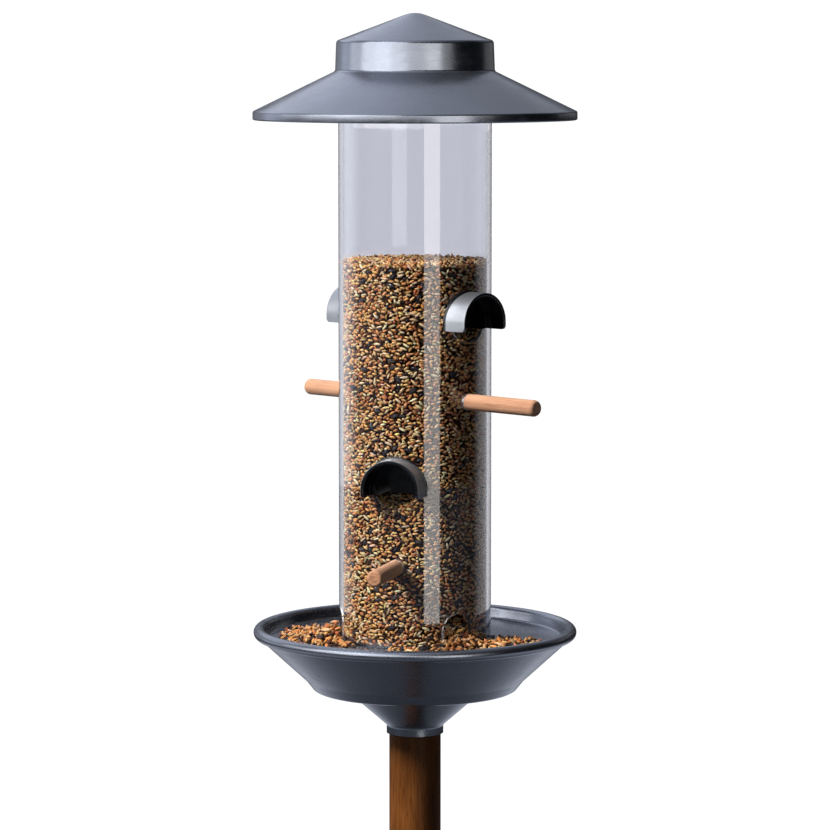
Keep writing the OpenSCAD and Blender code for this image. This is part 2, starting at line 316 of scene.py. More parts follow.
class Nodes(Tree):
    """The node tree of a new material."""

    def __init__(self, name):
        self.material = bpy.data.materials.new(name)
        self.material.use_nodes = True
        super().__init__(self.material.node_tree)
        self.shader = self.tree.nodes["Principled BSDF"]
        self.output = self.tree.nodes["Material Output"]

    def set(self, **values):
        """Sets the shader's sockets, where an underscore stands for a space."""
        for key, value in values.items():
            self.put(self.shader, key.replace("_", " "), value)

    def place(self, stretch=(1, 1, 1), turn=0.0):
        """Object coordinates in metres, turned about Z and stretched."""
        spot = self.add("TexCoord").outputs["Object"]
        turned = self.add("VectorRotate", [("Vector", spot), ("Angle", -turn)], rotation_type="Z_AXIS")
        turned = turned.outputs["Vector"]
        return self.add("VectorMath", [(0, turned), (1, stretch)], operation="MULTIPLY").outputs["Vector"]

    def noise(self, spot, scale, detail, rough=0.55, warp=0.0):
        """Noise from 0 to 1."""
        return self.add("TexNoise", [
            ("Vector", spot), ("Scale", scale), ("Detail", detail), ("Roughness", rough), ("Distortion", warp)
        ]).outputs["Fac"]

    def bump(self, height, distance, strength, normal=None):
        """A bump of a height map whose full range is distance, in metres."""
        inputs = [("Height", height), ("Distance", distance), ("Strength", strength)]
        if normal is not None:
            inputs.append(("Normal", normal))
        return self.add("Bump", inputs).outputs["Normal"]


def shade(colour, factor):
    """A colour made lighter or darker."""
    return tuple(channel * factor for channel in colour)


# ---- Materials ----

def metallic_paint(name, colour, roughness):
    """Metallic paint on spun sheet: fine flake, faint turning rings, soft waviness and a thin clear coat."""
    wear = 0.12
    m = Nodes(name)
    spot = m.place()
    flake = m.noise(spot, 2600, 1.0)
    cloud = m.noise(spot, 16, 3.0)
    dust = m.noise(spot, 90, 4.0, 0.7)
    tone = m.total((flake, 0.2), (cloud, 0.8))
    smear = m.noise(m.place((1, 1, 6)), 45, 4.0, 0.7, 1.2)
    base = m.ramp(tone, [(0.3, shade(colour, 1 - wear)), (0.5, colour), (0.7, shade(colour, 1 + wear))])
    m.set(Base_Color=base, Metallic=0.92, Coat_Weight=0.12, Coat_Roughness=0.1, IOR=1.5)
    worn = m.total((dust, 0.5), (smear, 0.5))
    m.set(Roughness=m.span(worn, roughness - 0.05, roughness + 0.09, 0.35, 0.65))
    split = m.add("SeparateXYZ", [("Vector", spot)])
    radius = m.add("VectorMath", [(0, m.place((1, 1, 0)))], operation="LENGTH").outputs["Value"]
    ring_spot = m.add("CombineXYZ", [("X", radius), ("Z", split.outputs["Z"])]).outputs["Vector"]
    rings = m.noise(ring_spot, 420, 2.0)
    waves = m.noise(spot, 34, 2.0)
    normal = m.bump(waves, 0.00020, 0.35)
    normal = m.bump(rings, 0.00002, 0.4, normal)
    normal = m.bump(m.noise(spot, 1100, 1.0), 0.000004, 0.4, normal)
    m.set(Normal=normal)
    return m.material


def clear_tube_material(name, tint, smooth, dull):
    """Clear extruded tube with a faint cool tint and fine draw lines, which lets direct light through."""
    m = Nodes(name)
    lines = m.noise(m.place((1, 1, 0.01)), 520, 3.0)
    haze = m.noise(m.place(), 60, 4.0, 0.7)
    m.set(Base_Color=(*tint, 1), Transmission_Weight=1.0, IOR=1.49, Metallic=0.0)
    m.set(Roughness=m.span(haze, smooth, dull, 0.35, 0.75))
    m.set(Normal=m.bump(lines, 0.000006, 0.5))
    path = m.add("LightPath")
    through = m.maths("MAXIMUM", path.outputs["Is Shadow Ray"], path.outputs["Is Diffuse Ray"])
    clear = m.add("BsdfTransparent", [("Color", (0.93, 0.93, 0.95, 1))])
    mixed = m.add("MixShader", [(0, through), (1, m.shader.outputs["BSDF"]), (2, clear.outputs["BSDF"])])
    m.put(m.output, "Surface", mixed.outputs["Shader"])
    return m.material


def mottled_material(
    name, colours, stops, patches, gloss_patches, gloss, relief, depth, stretch=(1, 1, 1), **sockets
):
    """A moulded, plated or coated surface, from the settings of its three noises.

    colours lie at the stops of the noise patches, gloss is the range of roughness over gloss_patches, and
    depth is the height and strength of the noise relief.
    """
    m = Nodes(name)
    spot = m.place()
    m.set(Base_Color=m.ramp(m.noise(spot, *patches), list(zip(stops, colours))), **sockets)
    m.set(Roughness=m.span(m.noise(spot, *gloss_patches), *gloss, 0.3, 0.7))
    m.set(Normal=m.bump(m.noise(m.place(stretch), *relief), *depth))
    return m.material


def plated_material(name, dark, light, gloss, stretch=(1, 1, 1)):
    """Plated or bare metal with fine scratches and a patchy surface."""
    patches = (120, 5.0, 0.7)
    return mottled_material(
        name, (dark, light), (0.3, 0.7), patches, patches, gloss, (1500, 2.0), (0.00003, 0.5), stretch,
        Metallic=0.95
    )


def wood_material(name, dark, middle, light, stretch, turn=0.0, gloss=0.5, coat=0.05, fleck=0.35, shine=0.3):
    """Turned wood: broad bands, fine fibres and short dark pores that run along the piece."""
    m = Nodes(name)
    long_spot = m.place(stretch, turn)
    bands = m.noise(long_spot, 90, 2.0, 0.5, 0.6)
    fibres = m.noise(long_spot, 900, 3.0, 0.6)
    pores = m.noise(long_spot, 1500, 1.0)
    blotch = m.noise(m.place(), 22, 3.0)
    tone = m.total((bands, 0.5), (fibres, 0.3), (blotch, 0.2))
    base = m.ramp(tone, [(0.36, dark), (0.5, middle), (0.64, light)])
    open_pores = m.span(pores, 0.0, fleck, 0.62, 0.72)
    base = m.mix(open_pores, base, (*shade(dark, 0.45), 1))
    m.set(Base_Color=base, Coat_Weight=coat, Coat_Roughness=0.18, IOR=1.4, Specular_IOR_Level=shine)
    m.set(Roughness=m.span(fibres, gloss - 0.06, gloss + 0.1, 0.3, 0.7))
    normal = m.bump(fibres, 0.00006, 0.5)
    m.set(Normal=m.bump(open_pores, 0.00008, 0.4, normal))
    return m.material


def end_grain_material():
    """Sawn end of a beech dowel: growth rings across, with small dark pores."""
    m = Nodes("perch_end_grain")
    spot = m.place()
    rings = m.noise(m.place((0.3, 0.3, 1)), 900, 2.0, 0.6, 0.5)
    pores = m.noise(spot, 3000, 2.0)
    base = m.ramp(rings, [(0.35, (0.27, 0.12, 0.06)), (0.5, (0.46, 0.22, 0.115)), (0.68, (0.60, 0.31, 0.17))])
    base = m.mix(m.span(pores, 0.0, 0.55, 0.5, 0.65), base, (0.10, 0.05, 0.025, 1))
    m.set(Base_Color=base, Roughness=0.75)
    m.set(Normal=m.bump(pores, 0.0001, 0.6))
    return m.material


def grain_material():
    """Seed: each grain's own colour, with a mottled husk, fine ridges and a waxy shine."""
    m = Nodes("seed_mix")
    spot = m.place()
    own = m.add("VertexColor", layer_name="grain").outputs["Color"]
    mottle = m.noise(spot, 1400, 3.0, 0.6)
    darker = m.mix(1.0, own, (0.72, 0.64, 0.58, 1), "MULTIPLY")
    base = m.mix(m.span(mottle, 0.0, 0.75, 0.38, 0.72), own, darker)
    m.set(Base_Color=base, IOR=1.45, Specular_IOR_Level=0.35)
    m.set(Roughness=m.span(mottle, 0.36, 0.6, 0.3, 0.7))
    m.set(Normal=m.bump(m.noise(spot, 2600, 2.0), 0.00005, 0.45))
    return m.material


def seed_core_material():
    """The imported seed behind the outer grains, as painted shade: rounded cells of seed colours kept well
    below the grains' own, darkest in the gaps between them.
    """
    m = Nodes("seed_core")
    cells = m.add("TexVoronoi", [("Vector", m.place()), ("Scale", 520.0)])
    pick = m.add("SeparateXYZ", [("Vector", cells.outputs["Color"])]).outputs["X"]
    # painted shade: these seed colours are about half as bright as the grains' own
    own = m.ramp(pick, [
        (0.0, (0.04, 0.018, 0.01)), (0.3, (0.26, 0.09, 0.025)),
        (0.6, (0.36, 0.17, 0.05)), (0.9, (0.42, 0.25, 0.10))
    ])
    # painted shade in the gaps between the cells; the same mask also gives the cells their relief
    edge = m.span(cells.outputs["Distance"], 0.8, 0.08, 0.15, 0.6)
    base = m.mix(1.0, own, m.ramp(edge, [(0.0, (0.0, 0.0, 0.0)), (1.0, (1.0, 1.0, 1.0))]), "MULTIPLY")
    m.set(Base_Color=base, Roughness=0.8, Specular_IOR_Level=0.0)
    m.set(Normal=m.bump(edge, 0.0008, 0.8))
    return m.material


PAINT = (0.20, 0.215, 0.25)
STAIN = ((0.050, 0.0155, 0.0036), (0.135, 0.045, 0.0105), (0.235, 0.084, 0.020))
BEECH = ((0.34, 0.165, 0.095), (0.49, 0.27, 0.165), (0.60, 0.36, 0.235))
ALONG_Z, ALONG_X = (1, 1, 0.06), (0.05, 1, 1)
roof_paint = metallic_paint("roof_paint", PAINT, 0.22)
# painted shade: the tray's paint is the roof's paint made 8% darker
tray_paint = metallic_paint("tray_paint", shade(PAINT, 0.92), 0.24)
clear_tube = clear_tube_material("clear_tube", (0.752, 0.757, 0.815), 0.0, 0.035)
# painted shade: the cut faces get a dark grey tint that draws dark lines along the cut edges; their roughness
# is real frosting
clear_tube_edge = clear_tube_material("clear_tube_edge", (0.22, 0.22, 0.24), 0.30, 0.45)
hood_silver = mottled_material(
    "hood_silver", ((0.32, 0.336, 0.363), (0.407, 0.424, 0.451)), (0.3, 0.7), (3200, 1.0), (300, 4.0),
    (0.42, 0.50), (90, 2.0), (0.00003, 0.3), Metallic=0.9, Coat_Weight=0.1, Coat_Roughness=0.15
)
black_gloss = mottled_material(
    "black_gloss", ((0.002, 0.0025, 0.004), (0.006, 0.007, 0.009)), (0.35, 0.75), (90, 4.0), (260, 5.0, 0.7),
    (0.12, 0.22), (70, 2.0), (0.00012, 0.3), IOR=1.5
)
black_plastic = mottled_material(
    "black_plastic", ((0.010, 0.010, 0.011), (0.022, 0.022, 0.024)), (0.3, 0.75), (150, 4.0), (500, 3.0),
    (0.28, 0.42), (2400, 1.0), (0.00002, 0.5), IOR=1.5
)
black_steel = mottled_material(
    "black_steel", ((0.016, 0.017, 0.019), (0.034, 0.035, 0.038)), (0.3, 0.7), (60, 5.0, 0.65), (200, 4.0),
    (0.34, 0.5), (700, 2.0), (0.00008, 0.5), IOR=1.5
)
zinc = plated_material("zinc", (0.42, 0.43, 0.44), (0.62, 0.63, 0.64), (0.24, 0.42))
brass = plated_material("brass", (0.55, 0.36, 0.12), (0.78, 0.56, 0.24), (0.22, 0.40), (1, 1, 0.05))
stained_wood = wood_material("stained_wood", *STAIN, ALONG_Z, gloss=0.42, coat=0.0, fleck=0.6, shine=0.07)
perch_woods = {
    "upper": wood_material("perch_wood", *BEECH, ALONG_X),
    "lower": wood_material("perch_wood_turned", *BEECH, ALONG_X, LEVEL_TURN),
}
end_grain = end_grain_material()
seed_mix = grain_material()
seed_core = seed_core_material()


# ---- Roof ----

def make_roof():
    """Spun roof: tip, cap, collar, brim and a rim that is folded back inside."""
    tip_r = 18
    cap_slope = math.radians(20.6)
    brim_slope = math.radians(25.9)
    sheet = 0.8
    edge_z = 0.8
    collar_h = 18.4
    collar_flare = 0.7
    band_h = 5.2
    hem = 0.85
    fold_h = 1.2
    fold_gap = 0.4
    collar_top = TUBE_R + ROOF_FIT + sheet
    collar_foot = collar_top + collar_flare
    tip_x = tip_r * math.sin(cap_slope)
    tip_end = (tip_x, edge_z + (collar_top - tip_x) * math.tan(cap_slope))
    tip_centre = (0, tip_end[1] - tip_r * math.cos(cap_slope))
    brim_z = edge_z - collar_h - (ROOF_R - collar_foot) * math.tan(brim_slope)
    band_foot = brim_z - band_h + hem
    tip = arc(tip_centre, tip_r, 90, 90 - math.degrees(cap_slope), 10)
    collar = [(collar_top, edge_z), (collar_foot, edge_z - collar_h)]
    skirt = rounded([tip_end, *collar, (ROOF_R, brim_z), (ROOF_R, band_foot)], [0, 2.5, 2.0, 1.5, 0])[1:]
    outer = tip[:-1] + [Vector(tip_end)] + skirt
    fold = arc((ROOF_R - hem, band_foot), hem, -15, -180, 10)
    fold_x = ROOF_R - 2 * hem
    fold_top = Vector((fold_x, brim_z - fold_h))
    inner = [p for p in beside(outer, sheet)[:-1] if p.x < fold_x - fold_gap]
    outline = outer + fold + [fold_top] + inner[::-1]
    spun_piece("roof_shell", outline, ROOF_Z, [roof_paint], "roof", ["roof"], 256)


# ---- Tray ----

ROLL_R = 3.6
ROLL_AT = TRAY_R - ROLL_R
ROLL_Z = 4.2
WALL_FOOT_R = ROLL_AT - ROLL_R - 1.4


def make_tray_part(name, outline, z, node, turns=256):
    """A painted piece of the tray, spun from its outline."""
    spun_piece(name, outline, z, [tray_paint], "stand", [node], turns)


def make_dish():
    """The dish: flat floor, short wall and a rolled rim."""
    wall = rounded([(BOLT_HOLE_R, 0), (WALL_FOOT_R, 0), (ROLL_AT - ROLL_R, ROLL_Z)], [0, 1.5, 0], 6)[:-1]
    curl = arc((ROLL_AT, ROLL_Z), ROLL_R, 176, -120, 30)
    make_tray_part("tray_dish", sheet_outline(wall + curl, SHEET), FLOOR, "seed_dish")


def make_bowl():
    """The bowl under the dish, with a knee low on its side."""
    depth = FLOOR - POLE_TOP
    base_r, knee_r, knee_z = 0.625 * TRAY_R, 0.678 * TRAY_R, -0.79 * depth
    top_edge = (ROLL_AT - 0.7, 0.48)
    line = rounded([(BOLT_HOLE_R, -depth), (base_r, -depth), (knee_r, knee_z), top_edge], [0, 4, 6, 0], 10)
    make_tray_part("tray_bowl", sheet_outline(line, -SHEET), FLOOR, "bowl")


def make_socket():
    """The funnel under the bowl and its collar round the pole."""
    inner_r = 34
    outer_r = 0.428 * TRAY_R
    collar_r = POLE_R + 1.6
    funnel_h = 22.2
    collar_h = 5
    collar = [(collar_r, -funnel_h), (collar_r, -funnel_h - collar_h)]
    line = rounded([(inner_r, 0), (outer_r, 0), *collar], [0, 0, 2, 0], 10)
    make_tray_part("pole_socket_funnel", sheet_outline(line, SHEET), POLE_TOP, "pole_socket", 192)


# ---- Tube ----

def rod_cutter(radius, direction, z, turns):
    """A function that adds a rod right through the tube along a horizontal direction."""
    half = TUBE_R * 1.3
    place = along(level_way(direction), (0, 0, z))

    def add(bm):
        spin(bm, [(0, -half), (radius, -half), (radius, half), (0, half)], 0, turns, place)
    return add


def arch_cutter(direction):
    """A function that adds a seed outlet's arch, from inside the tube outwards."""
    def add(bm):
        top = FLOOR + OUTLET_H - OUTLET_W / 2
        section = [(-OUTLET_W / 2, FLOOR - 2), (OUTLET_W / 2, FLOOR - 2)]
        section += [tuple(p) for p in arc((0, top), OUTLET_W / 2, 0, 180, 32)]
        turn = Matrix.Rotation(direction, 4, "Z")
        prism(bm, [
            [bm.verts.new(turn @ Vector((x, y, z))) for y, z in section]
            for x in (TUBE_R / 2, TUBE_R * 1.5)
        ])
    return add


def finish_walls(mesh):
    """Gives the tube's two round walls exact normals, and its cut faces crisp edges and the edge material."""
    squarely, level_face, near = 0.98, 0.01, 0.1
    normals = []
    for polygon in mesh.polygons:
        face = polygon.normal
        walls = 0
        for index in polygon.loop_indices:
            co = mesh.vertices[mesh.loops[index].vertex_index].co
            out = Vector((co.x, co.y, 0)).normalized()
            side = face.dot(out)
            radius = math.hypot(co.x, co.y) / MM
            off_wall = min(abs(radius - TUBE_R), abs(radius - BORE_R))
            on_wall = abs(side) > squarely and abs(face.z) < level_face and off_wall < near
            normals.append(out * math.copysign(1, side) if on_wall else face)
            walls += on_wall
        polygon.material_index = 0 if walls else 1
    mesh.normals_split_custom_set(normals)


def make_tube():
    """The clear tube with its ports, perch holes and seed outlets."""
    outline = [(BORE_R, FLOOR), (TUBE_R, FLOOR), (TUBE_R, TUBE_TOP), (BORE_R, TUBE_TOP)]
    materials = [clear_tube, clear_tube_edge]
    tube = spun_piece("tube_clear", outline, 0, materials, "stand", ["tube"], 256)
    hole_r = PERCH_R + 0.08
    cut(tube, [
        rod_cutter(PORT_R, 0.0, UPPER_PORT_Z, 96), rod_cutter(PORT_R, LEVEL_TURN, LOWER_PORT_Z, 96),
        rod_cutter(hole_r, 0.0, UPPER_PERCH_Z, 64), rod_cutter(hole_r, LEVEL_TURN, LOWER_PERCH_Z, 64),
        *[arch_cutter(a) for a in OUTLETS],
    ])
    tube.data.shade_smooth()
    finish_walls(tube.data)


# ---- Hoods ----

HOOD_R = 18.25
HOOD_WALL = 2.0
HOOD_LEG = 4.75
HOOD_FRONT = 60.0
PORT_OVER_ARCH = 1.75


def hood_stations():
    """Cross-sections from one leg's foot over the arch to the other's, as foot, direction and leg height."""
    feet = [0.0, 0.15, 0.35, 0.6, 0.9, 1.3, 1.8, 2.5, 3.6]
    out = [((0.0, h - HOOD_LEG), (-1.0, 0.0), h) for h in feet]
    steps = 56
    for k in range(steps + 1):
        a = math.pi * (1 - k / steps)
        out.append(((0.0, 0.0), (math.cos(a), math.sin(a)), HOOD_LEG + math.sin(a)))
    out += [((0.0, h - HOOD_LEG), (1.0, 0.0), h) for h in feet[::-1]]
    return out


def hood_section(foot, direction, leg):
    """One cross-section of the hood as (depth, offset) points, and the first and last of its silver ones."""
    corner_r = 2.5
    lip = 0.62
    flange_out, flange_t, seat = 1.0, 0.8, TUBE_R + 0.05
    neck_r = PORT_R - 0.3
    straight = 4.5
    front = HOOD_FRONT
    if leg < corner_r:
        front -= corner_r - math.sqrt(corner_r ** 2 - (corner_r - leg) ** 2)

    def tube_depth(radius, offset):
        across = offset * direction[0]
        return math.sqrt(max(radius ** 2 - across ** 2, 0.0))

    def on_flange(offset, rise=0.0):
        return tube_depth(seat + flange_t, offset) + rise, offset

    up = foot[1] - PORT_OVER_ARCH
    along_port = up * direction[1]
    inner = -along_port + math.sqrt(neck_r ** 2 - (up ** 2 - along_port ** 2))
    edge = HOOD_R + flange_out
    wall_in = HOOD_R - HOOD_WALL
    outside = [
        (tube_depth(seat, edge), edge), on_flange(edge, -0.4), on_flange(edge - 0.12, -0.12),
        on_flange(edge - 0.4), on_flange(HOOD_R + 0.45), on_flange(HOOD_R + 0.15, 0.13),
        on_flange(HOOD_R, 0.5), (front - straight, HOOD_R),
    ]
    steps = 6
    bend = [math.radians(90 * k / steps) for k in range(steps + 1)]
    outside += [(front - lip + lip * math.sin(a), HOOD_R - lip + lip * math.cos(a)) for a in bend]
    inside = [(front - lip + lip * math.cos(a), wall_in + lip - lip * math.sin(a)) for a in bend]
    inside += [
        (front - straight, wall_in), on_flange(wall_in, 0.5), on_flange(wall_in - 0.15, 0.13),
        on_flange(wall_in - 0.5), on_flange(inner + 0.3), on_flange(inner, -0.3),
        (tube_depth(seat, inner), inner),
    ]
    return outside + inside, (5, len(outside) - 4)


def make_hood(name, direction, port_z):
    """A port's hood: an arched canopy, silver outside and gloss black inside, with a seating flange."""
    bm = bmesh.new()
    turn = Matrix.Rotation(direction, 4, "Z")
    rows, silver = [], (0, 0)
    for foot, way, leg in hood_stations():
        section, silver = hood_section(foot, way, leg)
        rows.append([
            bm.verts.new(turn @ Vector((
                depth, foot[0] + way[0] * offset, port_z - PORT_OVER_ARCH + foot[1] + way[1] * offset
            )))
            for depth, offset in section
        ])
    count = len(rows[0])
    for row, after in zip(rows, rows[1:]):
        for k in range(count):
            face = bm.faces.new([row[k], row[(k + 1) % count], after[(k + 1) % count], after[k]])
            face.material_index = 0 if silver[0] <= k < silver[1] else 1
    for row in (rows[0], rows[-1]):
        bm.faces.new(row).material_index = 1
    mesh = finish_mesh(f"{name}_shell", bm, 40)
    add_piece(f"{name}_shell", mesh, [hood_silver, black_gloss], "stand", [name])


# ---- Perches ----

def make_perch(which, direction, z, body):
    """A beech dowel with rounded-off, sawn ends."""
    node = f"perch_{which}"
    centre = (low(node) + high(node)) / 2
    centre.z = z
    way = level_way(direction)
    half = (high("perch_upper").x - low("perch_upper").x) / 2
    chamfer, sawn_share = 2.4, 0.2
    inset_and_share = [(0.0, 1.0), (0.1, 0.72), (0.4, 0.4), (0.9, 0.13), (1.5, 0.0)]
    shoulder = [(PERCH_R - inset, half - chamfer * share) for inset, share in inset_and_share]
    outline = [(0, half), *shoulder[::-1], (PERCH_R, 0), *[(r, -h) for r, h in shoulder], (0, -half)]
    bm = bmesh.new()
    spin(bm, outline, 0, 64, along(way, centre))
    for face in bm.faces:
        middle = face.calc_center_median() - centre
        face.material_index = int(abs(middle.dot(way)) > half - chamfer * sawn_share)
    mesh = finish_mesh(f"{node}_dowel", bm, 24)
    add_piece(f"{node}_dowel", mesh, [perch_woods[which], end_grain], body, [node])


# ---- Pole, sleeve, spike and their screws ----

def make_straight(name, node, inner, ease, material):
    """A pole section or the sleeve, from an inner radius out to its CAD node's, with eased outer edges."""
    bottom, top, outer = low(node).z, high(node).z, high(node).x
    outline = rounded([(inner, bottom), (outer, bottom), (outer, top), (inner, top)], [0, ease, ease, 0], 5)
    spun_piece(name, outline, 0, [material], "stand", [node], 128)


def make_spike():
    """Cup, step plate, weld and pointed pin in one steel piece."""
    node = "ground_spike"
    pin_r, plate_r = 8.0, high(node).x
    cup_in, cup_out = POLE_R + 0.1, POLE_R + CUP_WALL
    top, bottom = high(node).z, low(node).z
    point = 25.0
    weld = 3.0
    corners = [
        ((0, bottom), 0), ((0.8, bottom + 0.3), 0), ((pin_r, bottom + point), 2.0), ((pin_r, -weld), 0.8),
        ((pin_r + weld, 0), 0.8), ((plate_r, 0), 1.2), ((plate_r, PLATE_T), 1.2),
        ((cup_out + weld, PLATE_T), 0.8), ((cup_out, PLATE_T + weld), 0.8), ((cup_out, top), 0.9),
        ((cup_in, top), 0.9), ((cup_in, PLATE_T), 0), ((0, PLATE_T), 0)
    ]
    outline = rounded(*zip(*corners), 5)
    spun_piece("ground_spike_pin", outline, 0, [black_steel], "stand", [node], 128)


def cross_cutter(place, size, depth):
    """A function that adds one tapered bar of a cross recess, from above a screw's head down into it."""
    def add(bm):
        wide, narrow, top = size * 0.17, size * 0.09, 1.5
        prism(bm, [
            [
                bm.verts.new(place @ Vector((x * half_long, y * half_wide, height)))
                for x, y in ((-1, -1), (1, -1), (1, 1), (-1, 1))
            ]
            for height, half_long, half_wide in ((top, size * 0.62, wide), (-depth, size * 0.18, narrow))
        ])
    return add


def make_wood_screws(name, node, heights, face_r):
    """Dome-headed wood screws that face -Y, each with a cross recess and a threaded shank."""
    head_r, head_h, length, shank_r = 3.6, 1.8, 14.0, 1.6
    pitch, thread = 1.3, 0.35
    dome_r = 2 * head_r
    dome_z = head_h - dome_r
    bm = bmesh.new()
    cutters = []
    for z in heights:
        place = along((0, -1, 0), Vector((0, -face_r, z)))
        dome = [p for p in arc((0, dome_z), dome_r, 90, 64, 8) if p.x < head_r - 0.15]
        edge_h = dome_z + math.sqrt(dome_r ** 2 - head_r ** 2)
        outline = dome + [Vector((head_r, edge_h)), Vector((head_r, 0.0)), Vector((shank_r, 0.0))]
        h = -2.0
        while h > 1.5 - length:
            outline += [Vector((shank_r, h)), Vector((shank_r - thread, h - pitch * 0.5))]
            h -= pitch
        outline += [Vector((shank_r * 0.7, 1.2 - length)), Vector((0, -length))]
        spin(bm, outline, 0, 48, place)
        for turn in (0.3, 0.3 + math.pi / 2):
            spot = place @ Matrix.Translation((0, 0, head_h)) @ Matrix.Rotation(turn, 4, "Z")
            cutters.append(cross_cutter(spot, dome_r, 1.1))
    screws = add_piece(name, finish_mesh(name, bm, 30), [zinc], "stand", [node])
    for cutter in cutters:
        cut(screws, [cutter])
    screws.data.shade_smooth()
    screws.data.set_sharp_from_angle(angle=math.radians(30))


# ---- Seed ----

Kind = namedtuple("Kind", "size pointed share colours")        # size: length, width and thickness
Grain = namedtuple("Grain", "kind centre way side size")

KINDS = [                                                      # the larger kinds come first
    # sunflower
    Kind((6.6, 3.3, 2.6), True, 0.004, [(0.020, 0.018, 0.020), (0.050, 0.042, 0.040)]),
    # oat
    Kind((6.6, 2.0, 1.8), True, 0.016, [(0.86, 0.62, 0.31), (0.94, 0.73, 0.44)]),
    # wheat
    Kind((4.6, 2.4, 2.2), False, 0.03, [(0.62, 0.27, 0.09), (0.80, 0.43, 0.16)]),
    # canary seed
    Kind((4.6, 1.75, 1.6), True, 0.27, [
        (0.92, 0.55, 0.22), (0.88, 0.53, 0.18), (0.96, 0.68, 0.38), (0.90, 0.42, 0.13)
    ]),
    # niger
    Kind((4.0, 1.5, 1.3), True, 0.13, [(0.020, 0.014, 0.014), (0.060, 0.026, 0.018), (0.13, 0.045, 0.028)]),
    # millet
    Kind((2.2, 2.0, 1.8), False, 0.55, [
        (0.90, 0.46, 0.16), (0.94, 0.60, 0.25), (0.66, 0.23, 0.08), (0.96, 0.72, 0.38), (0.45, 0.16, 0.06)
    ]),
]


def blunt_grain():
    """A round grain of 20 triangles with radius 1."""
    bm = bmesh.new()
    bmesh.ops.create_icosphere(bm, subdivisions=1, radius=1)
    points = np.array([v.co for v in bm.verts])
    faces = np.array([[v.index for v in f.verts] for f in bm.faces])
    bm.free()
    return points, faces


def pointed_grain():
    """A husked grain with two tips and six sides, with half length, width and thickness 1."""
    sides, rings = 6, ((-0.62, 0.66), (-0.12, 1.0), (0.46, 0.80))
    angles = [TURN * k / sides for k in range(sides)]
    points = [(-1.0, 0.0, 0.0)]
    for x, radius in rings:
        points += [(x, radius * math.cos(a), radius * math.sin(a)) for a in angles]
    points.append((1.0, 0.0, 0.0))
    faces = [(0, 1 + (k + 1) % sides, 1 + k) for k in range(sides)]
    for ring in range(len(rings) - 1):
        a, b = 1 + ring * sides, 1 + (ring + 1) * sides
        for k in range(sides):
            after = (k + 1) % sides
            faces += [(a + k, a + after, b + after), (a + k, b + after, b + k)]
    last = 1 + (len(rings) - 1) * sides
    tip = len(points) - 1
    faces += [(last + k, last + (k + 1) % sides, tip) for k in range(sides)]
    return np.array(points), np.array(faces)


class Packing:
    """Grains that are set down one by one and keep clear of each other."""

    CELL = 2.6

    def __init__(self, tightness=0.72):
        self.cells = {}
        self.tightness = tightness
        self.grains = []

    def cell(self, x, y, z):
        """The grid cell that a place lies in."""
        return int(x // self.CELL), int(y // self.CELL), int(z // self.CELL)

    def balls(self, centre, way, size):
        """The grain as balls along its length."""
        shortest, long, shrunk = 0.4, 1.9, 0.92
        length, width = size[0] / 2, size[1] / 2
        reach = length - width
        if reach < shortest:
            return [(centre, width)]
        count = 3 if reach < long else 4
        return [(centre + way * (reach * (2 * k / (count - 1) - 1)), width * shrunk) for k in range(count)]

    def free(self, balls):
        """True if no ball lies in another grain."""
        for (x, y, z), radius in balls:
            cx, cy, cz = self.cell(x, y, z)
            near = (
                ball for i in (cx - 1, cx, cx + 1) for j in (cy - 1, cy, cy + 1) for k in (cz - 1, cz, cz + 1)
                for ball in self.cells.get((i, j, k), ())
            )
            for ox, oy, oz, other in near:
                reach = (radius + other) * self.tightness
                if (x - ox) ** 2 + (y - oy) ** 2 + (z - oz) ** 2 < reach * reach:
                    return False
        return True

    def drop(self, grain):
        """Sets a grain down if there is room."""
        balls = self.balls(grain.centre, grain.way, grain.size)
        if not self.free(balls):
            return
        for (x, y, z), radius in balls:
            ball = float(x), float(y), float(z), radius
            self.cells.setdefault(self.cell(x, y, z), []).append(ball)
        self.grains.append(grain)


def surface_darts(points, triangles, count):
    """Random points on triangles with their normals, spread by area."""
    smallest = 1e-9
    a, b, c = points[triangles[:, 0]], points[triangles[:, 1]], points[triangles[:, 2]]
    cross = np.cross(b - a, c - a)
    area = np.linalg.norm(cross, axis=1)
    keep = area > smallest
    a, b, c, cross, area = a[keep], b[keep], c[keep], cross[keep], area[keep]
    pick = random.choice(len(area), count, p=area / area.sum())
    u, v = random.random(count), random.random(count)
    over = u + v > 1
    u[over], v[over] = 1 - u[over], 1 - v[over]
    spots = a[pick] + (b - a)[pick] * u[:, None] + (c - a)[pick] * v[:, None]
    return spots, cross[pick] / area[pick][:, None]


